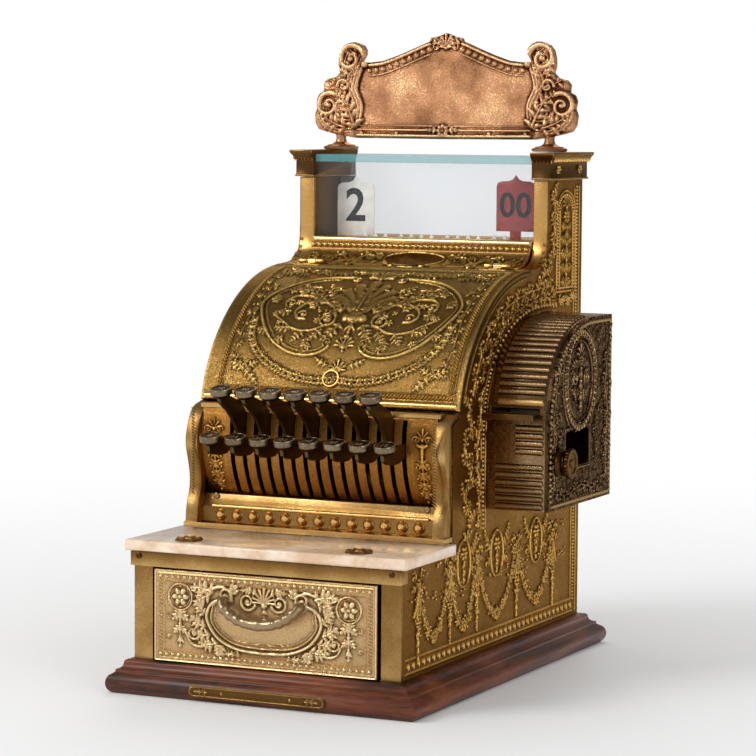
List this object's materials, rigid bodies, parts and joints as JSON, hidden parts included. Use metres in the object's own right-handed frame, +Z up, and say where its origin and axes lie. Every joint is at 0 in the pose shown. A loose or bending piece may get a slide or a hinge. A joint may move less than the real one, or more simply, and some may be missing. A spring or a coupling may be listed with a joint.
{
  "type": "antique cash register",
  "caption": "Antique brass cash register with press-down keys, pop-up tablets behind glass, a curved lid, a side slip printer, a top sign and a drawer, on a wooden plinth.",
  "frame": {"origin": "centre of the wooden plinth's underside, on the counter", "axes": "+Z up, -Y towards the keys and the drawer, +X towards the side with the slip printer"},
  "size_m": [0.3202, 0.4106, 0.5332],
  "materials": {
    "cabinet_brass": "cast, worn bright on the high places, brown in the hollows",
    "drawer_brass": "cast, paler and drier",
    "dark_brass": "cast, dark bronze patina",
    "copper": "cast copper alloy, stippled",
    "nickel": "worn nickel plate",
    "steel": "plain steel",
    "varnished_wood": "red brown varnish",
    "tray_wood": "plain planed wood",
    "marble": "polished pale marble",
    "glass": "clear",
    "white_enamel": "enamelled",
    "red_enamel": "enamelled",
    "paper": "plain paper roll"
  },
  "bodies": {
    "cabinet": {"base_plinth": "varnished_wood", "name_plate": "dark_brass", "side_plate_left": "cabinet_brass", "side_plate_right": "cabinet_brass", "back_plate": "cabinet_brass", "front_frame": "cabinet_brass", "marble_shelf": "marble", "keyboard_frame": "cabinet_brass", "key_plate": "cabinet_brass", "key_shaft": "steel", "window_sill": "cabinet_brass", "capital_left": "cabinet_brass", "capital_right": "cabinet_brass", "window_glass_front": "glass", "window_glass_back": "glass", "window_glass_top": "glass", "sign_board": "copper", "printer_case": "dark_brass", "slip_shelf": "steel", "bell_gong": "nickel"},
    "drawer": {"drawer_front": "drawer_brass", "drawer_tray": "tray_wood", "drawer_handle": "nickel"},
    "lid": {"lid": "cabinet_brass"},
    "lid_lock": {"lid_lock": "nickel"},
    "printer_door": {"printer_door": "dark_brass"},
    "printer_knob": {"printer_knob": "dark_brass"},
    "paper_roll": {"paper_roll": "paper"},
    "counter_drum": {"counter_drum": "nickel"},
    "bell_hammer": {"bell_hammer": "steel"},
    "key_01": {"key_01": "nickel"},
    "key_02": {"key_02": "nickel"},
    "key_03": {"key_03": "nickel"},
    "key_04": {"key_04": "nickel"},
    "key_05": {"key_05": "nickel"},
    "key_06": {"key_06": "nickel"},
    "key_07": {"key_07": "nickel"},
    "key_08": {"key_08": "nickel"},
    "key_09": {"key_09": "nickel"},
    "key_10": {"key_10": "nickel"},
    "key_11": {"key_11": "nickel"},
    "key_12": {"key_12": "nickel"},
    "key_13": {"key_13": "nickel"},
    "key_14": {"key_14": "nickel"},
    "key_15": {"key_15": "nickel"},
    "tablet_01": {"tablet_01": "white_enamel"},
    "tablet_02": {"tablet_02": "white_enamel"},
    "tablet_03": {"tablet_03": "white_enamel"},
    "tablet_04": {"tablet_04": "white_enamel"},
    "tablet_05": {"tablet_05": "white_enamel"},
    "tablet_06": {"tablet_06": "white_enamel"},
    "tablet_07": {"tablet_07": "white_enamel"},
    "tablet_08": {"tablet_08": "white_enamel"},
    "tablet_09": {"tablet_09": "white_enamel"},
    "tablet_10": {"tablet_10": "white_enamel"},
    "tablet_11": {"tablet_11": "white_enamel"},
    "tablet_12": {"tablet_12": "white_enamel"},
    "tablet_13": {"tablet_13": "white_enamel"},
    "tablet_14": {"tablet_14": "white_enamel"},
    "tablet_15": {"tablet_15": "red_enamel"}
  },
  "joints": [
    {"name": "drawer_slide", "type": "slide", "parent": "cabinet", "child": "drawer", "axis": [0, -1, 0], "range_m": [0, 0.2]},
    {"name": "lid_hinge", "type": "hinge", "parent": "cabinet", "child": "lid", "pos_m": [0, 0.0662, 0.3354], "axis": [-1, 0, 0], "range_deg": [0, 110]},
    {"name": "lid_lock_turn", "type": "hinge", "parent": "lid", "child": "lid_lock", "pos_m": [0, -0.0739, 0.2473], "axis": [0, -0.9158, 0.4017], "range_deg": [0, 90]},
    {"name": "printer_door_hinge", "type": "hinge", "parent": "cabinet", "child": "printer_door", "pos_m": [0.1705, 0.1165, 0.2], "axis": [0, 0, 1], "range_deg": [0, 100]},
    {"name": "printer_knob_turn", "type": "hinge", "parent": "printer_door", "child": "printer_knob", "pos_m": [0.18, -0.0035, 0.181], "axis": [1, 0, 0], "continuous": true},
    {"name": "paper_roll_turn", "type": "hinge", "parent": "cabinet", "child": "paper_roll", "pos_m": [0.142, 0.046, 0.232], "axis": [1, 0, 0], "continuous": true},
    {"name": "counter_drum_turn", "type": "hinge", "parent": "cabinet", "child": "counter_drum", "pos_m": [0, 0.025, 0.285], "axis": [1, 0, 0], "continuous": true},
    {"name": "bell_hammer_swing", "type": "hinge", "parent": "cabinet", "child": "bell_hammer", "pos_m": [-0.0135, 0.16, 0.106], "axis": [0, 1, 0], "range_deg": [0, 14]},
    {"name": "key_01_press", "type": "hinge", "parent": "cabinet", "child": "key_01", "pos_m": [-0.07728, -0.044, 0.196], "axis": [1, 0, 0], "range_deg": [0, 16.5], "stiffness_Nm_per_rad": 0.3, "springref_deg": -11.46},
    {"name": "key_02_press", "type": "hinge", "parent": "cabinet", "child": "key_02", "pos_m": [-0.06624, -0.044, 0.196], "axis": [1, 0, 0], "range_deg": [0, 16.5], "stiffness_Nm_per_rad": 0.3, "springref_deg": -11.46},
    {"name": "key_03_press", "type": "hinge", "parent": "cabinet", "child": "key_03", "pos_m": [-0.0552, -0.044, 0.196], "axis": [1, 0, 0], "range_deg": [0, 16.5], "stiffness_Nm_per_rad": 0.3, "springref_deg": -11.46},
    {"name": "key_04_press", "type": "hinge", "parent": "cabinet", "child": "key_04", "pos_m": [-0.04416, -0.044, 0.196], "axis": [1, 0, 0], "range_deg": [0, 16.5], "stiffness_Nm_per_rad": 0.3, "springref_deg": -11.46},
    {"name": "key_05_press", "type": "hinge", "parent": "cabinet", "child": "key_05", "pos_m": [-0.03312, -0.044, 0.196], "axis": [1, 0, 0], "range_deg": [0, 16.5], "stiffness_Nm_per_rad": 0.3, "springref_deg": -11.46},
    {"name": "key_06_press", "type": "hinge", "parent": "cabinet", "child": "key_06", "pos_m": [-0.02208, -0.044, 0.196], "axis": [1, 0, 0], "range_deg": [0, 16.5], "stiffness_Nm_per_rad": 0.3, "springref_deg": -11.46},
    {"name": "key_07_press", "type": "hinge", "parent": "cabinet", "child": "key_07", "pos_m": [-0.01104, -0.044, 0.196], "axis": [1, 0, 0], "range_deg": [0, 16.5], "stiffness_Nm_per_rad": 0.3, "springref_deg": -11.46},
    {"name": "key_08_press", "type": "hinge", "parent": "cabinet", "child": "key_08", "pos_m": [0, -0.044, 0.196], "axis": [1, 0, 0], "range_deg": [0, 16.5], "stiffness_Nm_per_rad": 0.3, "springref_deg": -11.46},
    {"name": "key_09_press", "type": "hinge", "parent": "cabinet", "child": "key_09", "pos_m": [0.01104, -0.044, 0.196], "axis": [1, 0, 0], "range_deg": [0, 16.5], "stiffness_Nm_per_rad": 0.3, "springref_deg": -11.46},
    {"name": "key_10_press", "type": "hinge", "parent": "cabinet", "child": "key_10", "pos_m": [0.02208, -0.044, 0.196], "axis": [1, 0, 0], "range_deg": [0, 16.5], "stiffness_Nm_per_rad": 0.3, "springref_deg": -11.46},
    {"name": "key_11_press", "type": "hinge", "parent": "cabinet", "child": "key_11", "pos_m": [0.03312, -0.044, 0.196], "axis": [1, 0, 0], "range_deg": [0, 16.5], "stiffness_Nm_per_rad": 0.3, "springref_deg": -11.46},
    {"name": "key_12_press", "type": "hinge", "parent": "cabinet", "child": "key_12", "pos_m": [0.04416, -0.044, 0.196], "axis": [1, 0, 0], "range_deg": [0, 16.5], "stiffness_Nm_per_rad": 0.3, "springref_deg": -11.46},
    {"name": "key_13_press", "type": "hinge", "parent": "cabinet", "child": "key_13", "pos_m": [0.0552, -0.044, 0.196], "axis": [1, 0, 0], "range_deg": [0, 16.5], "stiffness_Nm_per_rad": 0.3, "springref_deg": -11.46},
    {"name": "key_14_press", "type": "hinge", "parent": "cabinet", "child": "key_14", "pos_m": [0.06624, -0.044, 0.196], "axis": [1, 0, 0], "range_deg": [0, 16.5], "stiffness_Nm_per_rad": 0.3, "springref_deg": -11.46},
    {"name": "key_15_press", "type": "hinge", "parent": "cabinet", "child": "key_15", "pos_m": [0.07728, -0.044, 0.196], "axis": [1, 0, 0], "range_deg": [0, 16.5], "stiffness_Nm_per_rad": 0.3, "springref_deg": -11.46},
    {"name": "tablet_01_lift", "type": "slide", "parent": "cabinet", "child": "tablet_01", "axis": [0, 0, 1], "range_m": [-0.049, 0]},
    {"name": "tablet_02_lift", "type": "slide", "parent": "cabinet", "child": "tablet_02", "axis": [0, 0, 1], "range_m": [0, 0.049]},
    {"name": "tablet_03_lift", "type": "slide", "parent": "cabinet", "child": "tablet_03", "axis": [0, 0, 1], "range_m": [0, 0.049]},
    {"name": "tablet_04_lift", "type": "slide", "parent": "cabinet", "child": "tablet_04", "axis": [0, 0, 1], "range_m": [0, 0.049]},
    {"name": "tablet_05_lift", "type": "slide", "parent": "cabinet", "child": "tablet_05", "axis": [0, 0, 1], "range_m": [0, 0.049]},
    {"name": "tablet_06_lift", "type": "slide", "parent": "cabinet", "child": "tablet_06", "axis": [0, 0, 1], "range_m": [0, 0.049]},
    {"name": "tablet_07_lift", "type": "slide", "parent": "cabinet", "child": "tablet_07", "axis": [0, 0, 1], "range_m": [0, 0.049]},
    {"name": "tablet_08_lift", "type": "slide", "parent": "cabinet", "child": "tablet_08", "axis": [0, 0, 1], "range_m": [0, 0.049]},
    {"name": "tablet_09_lift", "type": "slide", "parent": "cabinet", "child": "tablet_09", "axis": [0, 0, 1], "range_m": [0, 0.049]},
    {"name": "tablet_10_lift", "type": "slide", "parent": "cabinet", "child": "tablet_10", "axis": [0, 0, 1], "range_m": [0, 0.049]},
    {"name": "tablet_11_lift", "type": "slide", "parent": "cabinet", "child": "tablet_11", "axis": [0, 0, 1], "range_m": [0, 0.049]},
    {"name": "tablet_12_lift", "type": "slide", "parent": "cabinet", "child": "tablet_12", "axis": [0, 0, 1], "range_m": [0, 0.049]},
    {"name": "tablet_13_lift", "type": "slide", "parent": "cabinet", "child": "tablet_13", "axis": [0, 0, 1], "range_m": [0, 0.049]},
    {"name": "tablet_14_lift", "type": "slide", "parent": "cabinet", "child": "tablet_14", "axis": [0, 0, 1], "range_m": [0, 0.049]},
    {"name": "tablet_15_lift", "type": "slide", "parent": "cabinet", "child": "tablet_15", "axis": [0, 0, 1], "range_m": [-0.049, 0]}
  ],
  "couplings": [
    {"joint": "tablet_02_lift", "follows": "key_02_press", "m_per_rad": 0.17},
    {"joint": "tablet_03_lift", "follows": "key_03_press", "m_per_rad": 0.17},
    {"joint": "tablet_04_lift", "follows": "key_04_press", "m_per_rad": 0.17},
    {"joint": "tablet_05_lift", "follows": "key_05_press", "m_per_rad": 0.17},
    {"joint": "tablet_06_lift", "follows": "key_06_press", "m_per_rad": 0.17},
    {"joint": "tablet_07_lift", "follows": "key_07_press", "m_per_rad": 0.17},
    {"joint": "tablet_08_lift", "follows": "key_08_press", "m_per_rad": 0.17},
    {"joint": "tablet_09_lift", "follows": "key_09_press", "m_per_rad": 0.17},
    {"joint": "tablet_10_lift", "follows": "key_10_press", "m_per_rad": 0.17},
    {"joint": "tablet_11_lift", "follows": "key_11_press", "m_per_rad": 0.17},
    {"joint": "tablet_12_lift", "follows": "key_12_press", "m_per_rad": 0.17},
    {"joint": "tablet_13_lift", "follows": "key_13_press", "m_per_rad": 0.17},
    {"joint": "tablet_14_lift", "follows": "key_14_press", "m_per_rad": 0.17}
  ]
}
